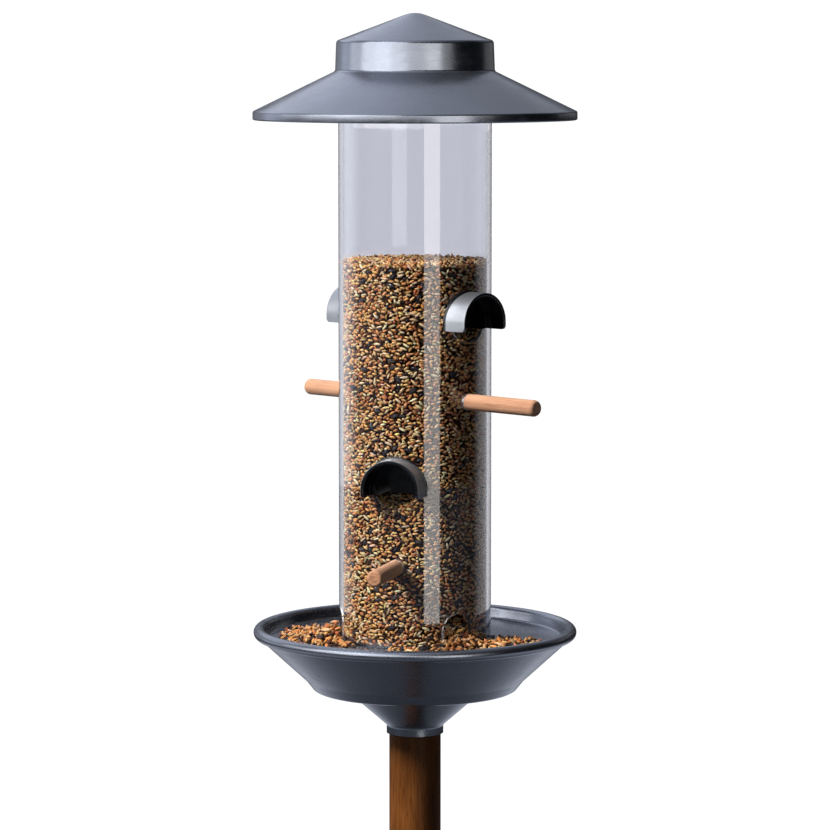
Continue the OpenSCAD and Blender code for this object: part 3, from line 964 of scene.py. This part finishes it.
def scatter(packing, spots, normals, grow, depth=0.0, spread=0.6, ragged=0.0):
    """Lays grains flat on a surface, largest kinds first, each sunk so that its outer side meets the surface.

    grow scales every grain, depth sinks it further, spread is how far it turns from level, and ragged is the
    square root of how far a grain on flat ground may stand out.
    """
    steep = 0.3
    smallest, largest = 0.86, 1.12
    tilt_on_slope, tilt_on_flat = 0.07, 0.55
    shares = np.array([kind.share for kind in KINDS])
    edges = (np.cumsum(shares / shares.sum()) * len(spots)).astype(int)
    start = 0
    for number, stop in enumerate(edges):
        usual = np.array(KINDS[number].size)
        for spot, normal in zip(spots[start:stop], normals[start:stop]):
            size = usual * random.uniform(smallest, largest) * grow
            flat = np.cross((0.0, 0.0, 1.0), normal)
            length = np.linalg.norm(flat)
            on_slope = length > steep
            flat = flat / length if on_slope else np.cross(normal, (1.0, 0.0, 0.0))
            flat = flat / np.linalg.norm(flat)
            rise = np.cross(normal, flat)
            angle = random.normal(0.0, spread) if on_slope else random.uniform(0, math.pi)
            way = flat * math.cos(angle) + rise * math.sin(angle)
            way = way + normal * random.normal(0.0, tilt_on_slope if on_slope else tilt_on_flat)
            way = way / np.linalg.norm(way)
            side = np.cross(normal, way)
            stand_out = random.uniform(0.0, ragged) ** 2 if ragged and not on_slope else 0.0
            centre = spot - normal * (size[2] / 2 + depth - stand_out)
            packing.drop(Grain(number, centre, way, side / np.linalg.norm(side), size))
        start = stop


def grains_mesh(name, grains, tone=(1.0, 1.0, 1.0)):
    """One mesh of all the grains, with each grain's colour times a tone."""
    darkest, palest = 0.004, 0.95
    darker, lighter = 0.68, 1.36
    hue_spread, tip_shade = 0.05, 0.35
    shapes = {True: pointed_grain(), False: blunt_grain()}
    points, faces, colours = [], [], []
    offset = 0
    for grain in grains:
        kind = KINDS[grain.kind]
        unit, triangles = shapes[kind.pointed]
        up = np.cross(grain.way, grain.side)
        length, width, thickness = grain.size
        axes = np.stack([grain.way * length / 2, grain.side * width / 2, up * thickness / 2])
        points.append(unit @ axes + grain.centre)
        faces.append(triangles + offset)
        offset += len(unit)
        colour = np.array(kind.colours[random.integers(len(kind.colours))]) * random.uniform(darker, lighter)
        colour = colour * (1 + random.normal(0, hue_spread, 3)) * np.array(tone)
        tips = 1 - tip_shade * np.abs(unit[:, :1]) ** 3
        colours.append(np.clip(colour[None, :] * tips, darkest, palest))
    points, faces, colours = np.concatenate(points) * MM, np.concatenate(faces), np.concatenate(colours)
    mesh = bpy.data.meshes.new(name)
    mesh.vertices.add(len(points))
    mesh.vertices.foreach_set("co", points.astype(np.float32).ravel())
    mesh.loops.add(faces.size)
    mesh.loops.foreach_set("vertex_index", faces.astype(np.int32).ravel())
    mesh.polygons.add(len(faces))
    mesh.polygons.foreach_set("loop_start", np.arange(0, faces.size, 3, dtype=np.int32))
    mesh.update(calc_edges=True)
    layer = mesh.color_attributes.new(name="grain", type="FLOAT_COLOR", domain="POINT")
    solid = np.ones((len(points), 4), np.float32)
    solid[:, :3] = colours
    layer.data.foreach_set("color", solid.ravel())
    mesh.shade_smooth()
    return mesh


def node_triangles(node):
    """A CAD node's points in millimetres and its triangles."""
    mesh = cad_nodes[node].data
    mesh.calc_loop_triangles()
    points = np.array([v.co for v in mesh.vertices]) / MM
    return points, np.array([t.vertices for t in mesh.loop_triangles])


def make_seed_column():
    """Grains against the tube's wall, on the top and on the slopes at the openings, over a core."""
    layers = [(-0.25, 100000), (1.1, 50000)]               # depth and number of darts
    grow, ragged = 0.9, 1.6
    lowest, underside = FLOOR + 0.9, -0.5
    clear_of_perch = PERCH_R + 1.4
    core_depth = 1.5
    bands = 4
    points, triangles = node_triangles("seed_column")
    packing = Packing()
    for depth, count in layers:
        spots, normals = surface_darts(points, triangles, count)
        across = spots[:, 0] * math.sin(-LEVEL_TURN) + spots[:, 1] * math.cos(LEVEL_TURN)
        seen = (spots[:, 2] > lowest) & (normals[:, 2] > underside)
        seen &= np.hypot(spots[:, 1], spots[:, 2] - UPPER_PERCH_Z) >= clear_of_perch
        seen &= np.hypot(across, spots[:, 2] - LOWER_PERCH_Z) >= clear_of_perch
        scatter(packing, spots[seen], normals[seen], grow, depth=depth, ragged=ragged)
    heights = np.array([grain.centre[2] for grain in packing.grains])
    edges = np.quantile(heights, np.arange(bands + 1) / bands)
    edges[-1] = math.inf
    for band in range(bands):
        chosen = (heights >= edges[band]) & (heights < edges[band + 1])
        name = f"seed_column_grains_{band + 1}"
        mesh = grains_mesh(name, [packing.grains[i] for i in np.flatnonzero(chosen)])
        add_piece(name, mesh, [seed_mix], "stand")
    bm = bmesh.new()
    bm.from_mesh(cad_nodes["seed_column"].data)
    bmesh.ops.remove_doubles(bm, verts=bm.verts, dist=1e-6)
    bmesh.ops.recalc_face_normals(bm, faces=bm.faces)
    bm.normal_update()
    moves = [v.normal * (core_depth * MM) for v in bm.verts]
    for vert, move in zip(bm.verts, moves):
        vert.co -= move
    bmesh.ops.scale(bm, vec=(1 / MM,) * 3, verts=bm.verts)
    mesh = finish_mesh("seed_column_core", bm)
    add_piece("seed_column_core", mesh, [seed_core], "stand", ["seed_column"])


# Spilt seed at an outlet: distance from the axis, turn from the outlet, radius and height of each heap
HEAP = (TUBE_R + 2, 0.0, 22.0, 11.5)
SKIRTS = [
    (TUBE_R + 12, 0.16, 28.0, 5.5), (TUBE_R + 14, 0.5, 30.0, 3.6), (TUBE_R + 13, -0.34, 26.0, 2.6),
    (TUBE_R + 9, -0.62, 20.0, 2.6)
]
SPILLS = [(OUTLETS[0], 1.0, [HEAP, *SKIRTS]), (OUTLETS[1], -0.7, [HEAP]), (OUTLETS[2], -0.7, [HEAP, *SKIRTS])]


def heap_height(x, y):
    """Height of the spilt seed over the tray floor, as heaps at the outlets with wide low skirts."""
    hollow = 1.1
    height = np.zeros_like(x)
    for outlet, turn_scale, heaps in SPILLS:
        for reach, turn, radius, top in heaps:
            a = outlet + turn * turn_scale
            away = np.hypot(x - reach * math.cos(a), y - reach * math.sin(a)) / radius
            height = np.maximum(height, top * np.clip(1 - away, 0, 1) ** hollow)
    return height


def make_tray_seed():
    """Grains heaped at the outlets, with low skirts over the tray floor."""
    count, tightness, grow, spread = 30000, 0.78, 1.3, 1.2
    # the tone is painted shade: it darkens the tray grains' seed colours to about half, and also turns them
    # from orange towards tan
    tone = (0.60, 0.50, 0.46)
    uneven = 0.12
    towards_top, thin, thin_lift = 0.7, 1.2, 0.9           # a thin layer is lifted clear of the floor
    grain_half = 1.1
    step = 0.5
    lowest_heap = 0.5
    inner_r, outer_r = TUBE_R + 1.3, ROLL_AT - ROLL_R - 3.4
    lowest_grain = FLOOR + 0.02
    radius = np.sqrt(random.uniform(inner_r ** 2, outer_r ** 2, count))
    angle = random.uniform(0, TURN, count)
    x, y = radius * np.cos(angle), radius * np.sin(angle)
    height = heap_height(x, y)
    keep = height > lowest_heap
    x, y, height = x[keep], y[keep], height[keep]
    rise = random.uniform(0, 1, len(x)) ** towards_top * height
    lift = np.maximum(thin - rise, 0) * thin_lift
    spots = np.stack([x, y, FLOOR + grain_half + rise + lift], axis=1)
    slope_x = (heap_height(x + step, y) - heap_height(x - step, y)) / (2 * step)
    slope_y = (heap_height(x, y + step) - heap_height(x, y - step)) / (2 * step)
    normals = np.stack([-slope_x, -slope_y, np.ones_like(x)], axis=1)
    normals += random.normal(0, uneven, normals.shape)
    normals /= np.linalg.norm(normals, axis=1)[:, None]
    packing = Packing(tightness)
    scatter(packing, spots, normals, grow, spread=spread)
    grains = [grain for grain in packing.grains if grain.centre[2] - grain.size[2] / 2 > lowest_grain]
    mesh = grains_mesh("tray_seed_grains", grains, tone)
    add_piece("tray_seed_grains", mesh, [seed_mix], "stand", ["tray_seed"])


# ---- Build ----

CAD_LOOKS = {
    "baffle_upper_a": black_gloss, "baffle_upper_b": black_gloss, "baffle_lower_a": black_gloss,
    "baffle_lower_b": black_gloss, "tube_seat": black_plastic, "seat_screws": zinc, "centre_bolt": zinc,
    "bolt_washer": zinc, "spacer_sleeve": zinc, "threaded_insert": brass
}


def dress_cad_nodes():
    """Gives the CAD nodes that stay in view their materials."""
    for node, material in CAD_LOOKS.items():
        obj = cad_nodes[node]
        for slot in obj.material_slots:
            slot.material = material
        if not obj.material_slots:
            obj.data.materials.append(material)


make_roof()
make_tube()
make_dish()
make_bowl()
make_socket()
for letter, side in (("a", 0.0), ("b", math.pi)):
    make_hood(f"hood_upper_{letter}", side, UPPER_PORT_Z)
    make_hood(f"hood_lower_{letter}", LEVEL_TURN + side, LOWER_PORT_Z)
make_perch("upper", 0.0, UPPER_PERCH_Z, "upper_perch")
make_perch("lower", LEVEL_TURN, LOWER_PERCH_Z, "lower_perch")
make_straight("pole_upper_section", "pole_upper", 0, 0.6, stained_wood)
make_straight("pole_lower_section", "pole_lower", 0, 0.6, stained_wood)
make_straight("joining_sleeve_tube", "joining_sleeve", POLE_R + 0.05, 0.8, black_steel)
make_spike()
SCREW_UP = 38
SLEEVE_QUARTER = (high("joining_sleeve").z - low("joining_sleeve").z) / 4
make_wood_screws("spike_screw_head", "spike_screw", [PLATE_T + SCREW_UP], POLE_R + CUP_WALL)
make_wood_screws(
    "sleeve_screw_heads", "sleeve_screws", [POLE_JOINT - SLEEVE_QUARTER, POLE_JOINT + SLEEVE_QUARTER],
    high("joining_sleeve").x
)
dress_cad_nodes()
make_seed_column()
make_tray_seed()


# ---- Camera, floor and light ----

VIEW = math.radians(-45)                 # the camera stands between +X and -Y
TOWARDS = level_way(VIEW)
RIGHT = Vector((-TOWARDS.y, TOWARDS.x, 0))


def bearing(degrees, distance, height):
    """A place at an angle to the right of the camera's bearing, in metres, over the tray floor."""
    a = math.radians(degrees)
    spot = (TOWARDS * math.cos(a) + RIGHT * math.sin(a)) * distance
    return Vector((spot.x, spot.y, FLOOR * MM + height))


def turn_to(obj, place, aim):
    """Puts a camera or a light at a place, turned to its aim."""
    obj.location = place
    obj.rotation_euler = (aim - place).to_track_quat("-Z", "Y").to_euler()


def make_camera():
    """A long lens, level with the roof, that looks slightly down on the tray."""
    away, camera_up, aim_up = 2.26, 0.373, 0.1387
    data = bpy.data.cameras.new("camera")
    data.lens = 160
    data.sensor_width = 36
    data.clip_start, data.clip_end = 0.05, 60
    camera = new_object("camera", data)
    turn_to(camera, bearing(0, away, camera_up), Vector((0, 0, FLOOR * MM + aim_up)))
    scene.camera = camera


def area_light(name, place, aim, width, height, radiance, colour, mirrored):
    """A softbox that the camera doesn't see. A mirrored one shows only in gloss, and any other never does."""
    data = bpy.data.lights.new(name, "AREA")
    data.shape = "RECTANGLE"
    data.size, data.size_y = width, height
    data.energy = radiance * width * height * math.pi
    data.color = colour
    lamp = new_object(name, data)
    turn_to(lamp, place, aim)
    lamp.visible_camera = False
    lamp.visible_diffuse = not mirrored
    lamp.visible_glossy = mirrored


WARM, NEUTRAL = (1.0, 0.97, 0.93), (1, 1, 1)
WALL_AWAY, WALL_LOW, WALL_START, WALL_STEP = 1.8, 0.27, -94.1, 23.8
WALL_PARTS = [(1.5, 0.95), (3.4, 2.0), (4.0, 2.3), (3.1, 1.9), (2.05, 0.95)]      # radiance and top
PANEL_AWAY = 2.4
PANELS = [                                             # name, bearing, width, bottom, top and radiance
    ("panel_top", 25.7, 1.04, 0.29, 0.9, 3.1), ("panel_side", 46.5, 0.72, 0.29, 0.9, 0.8),
    ("panel_low", 25.7, 1.04, -0.42, 0.28, 3.1), ("panel_rear", 137.0, 1.5, 0.25, 0.75, 0.22)
]


def make_lights():
    """A softbox high on the left, a curved white wall for the paint to mirror, and panels for the tube."""
    key_size, key_radiance = 0.7, 84.0
    middle = Vector((0, 0, FLOOR * MM + 0.1))
    area_light("key_softbox", bearing(-60, 1.9, 1.75), middle, key_size, key_size, key_radiance, WARM, False)

    def upright(name, degrees, away, width, low_z, high_z, radiance, colour):
        place = bearing(degrees, away, (low_z + high_z) / 2)
        aim = Vector((0, 0, place.z))
        area_light(name, place, aim, width, high_z - low_z, radiance, colour, True)

    width = 2 * WALL_AWAY * math.tan(math.radians(WALL_STEP / 2))
    for index, (radiance, top) in enumerate(WALL_PARTS):
        degrees = WALL_START + WALL_STEP * index
        upright(f"mirror_wall_{index + 1}", degrees, WALL_AWAY, width, WALL_LOW, top, radiance, NEUTRAL)
    for name, degrees, width, bottom, top, radiance in PANELS:
        upright(name, degrees, PANEL_AWAY, width, bottom, top, radiance, WARM)


WHITE = 1.06                             # a strength that shows as pure white
BEHIND = (0.2, 0.5)                      # how squarely a ray points away from the camera, none to full


def straight_view(m, behind):
    """One for camera rays and for rays through clear plastic that aren't mirrored, or end behind."""
    path = m.add("LightPath").outputs
    mirrored = m.maths("ADD", path["Glossy Depth"], path["Diffuse Depth"])
    unmirrored = m.maths("LESS_THAN", mirrored, 0.5)
    folded = m.maths("MULTIPLY", m.maths("LESS_THAN", mirrored, 1.5), behind)
    clean = m.maths("MAXIMUM", unmirrored, folded)
    passed = m.maths("MULTIPLY", path["Is Transmission Ray"], clean)
    return m.maths("MAXIMUM", path["Is Camera Ray"], passed)


def make_world():
    """White behind the object, and a studio that is bright on the left and dark on the right for gloss."""
    world = bpy.data.worlds.new("studio")
    scene.world = world
    world.use_nodes = True
    m = Tree(world.node_tree)
    m.tree.nodes.clear()
    direction = m.add("TexCoord").outputs["Generated"]

    def part(way, first, last, lowest=0.0, highest=1.0):
        """A smooth step from the lowest to the highest value as the direction turns towards a way."""
        return m.step(m.dot(direction, way), first, last, lowest, highest)

    up = (0, 0, 1)
    levels = [(0.0, 0.05), (0.3, 0.15), (0.42, 0.36), (0.5, 0.50), (0.58, 0.70), (0.75, 0.88), (1.0, 1.0)]
    leftward = m.span(m.dot(direction, -RIGHT), 0.0, 1.0, -1.0, 1.0)
    side = m.ramp(leftward, [(position, (value,) * 3) for position, value in levels])
    rear = m.maths("MULTIPLY", part(-TOWARDS, 0.35, 0.55), part(up, 0.20, 0.36))
    sky = m.maths("MAXIMUM", rear, part(up, 0.60, 0.90), part(-RIGHT, 0.2, 0.8, 0.16, 0.42))
    wall = m.maths("MULTIPLY", part(-RIGHT, 0.55, 0.85), part(up, 0.06, 0.16, 1.0, 0.0))
    front = part(TOWARDS - Vector((0, 0, 1.2)), -0.6, 0.1, 1.0, 0.12)
    strength = m.maths("MULTIPLY", side, front, m.maths("MAXIMUM", sky, wall), 1.5)
    studio, fill, white = [
        m.add("Background", [("Color", (*colour, 1)), ("Strength", value)]).outputs[0]
        for colour, value in (((0.90, 0.96, 1.12), strength), ((0.95, 0.98, 1.0), 0.10), ((1, 1, 1), WHITE))
    ]
    is_diffuse = m.add("LightPath").outputs["Is Diffuse Ray"]
    soft = m.add("MixShader", [(0, is_diffuse), (1, studio), (2, fill)]).outputs[0]
    seen = straight_view(m, part(-TOWARDS, *BEHIND))
    mixed = m.add("MixShader", [(0, seen), (1, soft), (2, white)])
    m.add("OutputWorld", [("Surface", mixed.outputs[0])])


def make_floor():
    """A plain pale floor under the spike's point, which fades into the white background. For every ray but
    the camera's it is black and glows instead, with painted shade near the object and in front of it and
    painted light in a wide ring farther out, for the glossy pieces to mirror.
    """
    radius, gap = 8000, 0.2
    bm = bmesh.new()
    bmesh.ops.create_circle(bm, cap_ends=True, segments=96, radius=radius)
    bmesh.ops.translate(bm, vec=(0, 0, low("ground_spike").z - gap), verts=bm.verts)
    mesh = finish_mesh("floor", bm)
    new_object("floor", mesh)
    m = Nodes("pale_floor")
    spot = m.place((1, 1, 0))
    away = m.add("VectorMath", [(0, spot)], operation="LENGTH").outputs["Value"]
    front = m.dot(spot, TOWARDS)
    backward = m.maths("DIVIDE", m.maths("MULTIPLY", front, -1.0), away)
    seen = straight_view(m, m.step(backward, *BEHIND))
    # painted glow: painted shade close to the middle, painted light brightest about 1.7 m out, fading again
    # beyond
    painted_glow = m.ramp(m.span(away, 0.0, 1.0, 0.0, 4.0), [
        (0.0, (0.09, 0.10, 0.125)), (0.075, (0.12, 0.13, 0.16)), (0.17, (0.21, 0.23, 0.27)),
        (0.25, (0.42, 0.45, 0.53)), (0.42, (0.72, 0.76, 0.88)), (0.60, (0.50, 0.52, 0.60)),
        (0.82, (0.05, 0.055, 0.065))
    ])
    # painted shade: the glow is darker in front of the object
    painted_glow = m.mix(m.step(front, 0.5, 1.6), painted_glow, (0.10, 0.11, 0.135, 1))
    pale = m.mix(seen, (0.0, 0.0, 0.0, 1), (0.86, 0.86, 0.87, 1))
    m.set(Base_Color=pale, Roughness=0.9, Specular_IOR_Level=0.0, Emission_Color=painted_glow)
    # the painted glow is weaker for light that reaches the pieces by diffuse bounces
    dimmed = m.span(m.add("LightPath").outputs["Is Diffuse Ray"], 1.0, 0.35)
    m.set(Emission_Strength=m.maths("MULTIPLY", m.span(seen, 1.0, 0.0), dimmed))
    far = m.maths("MULTIPLY", m.step(away, 0.5, 2.2), seen)
    white = m.add("Emission", [("Color", (1, 1, 1, 1)), ("Strength", WHITE)])
    mixed = m.add("MixShader", [(0, far), (1, m.shader.outputs["BSDF"]), (2, white.outputs[0])])
    m.put(m.output, "Surface", mixed.outputs["Shader"])
    mesh.materials.append(m.material)


make_camera()
make_lights()
make_world()
make_floor()
scene.view_settings.view_transform = "Standard"

bpy.context.view_layer.update()
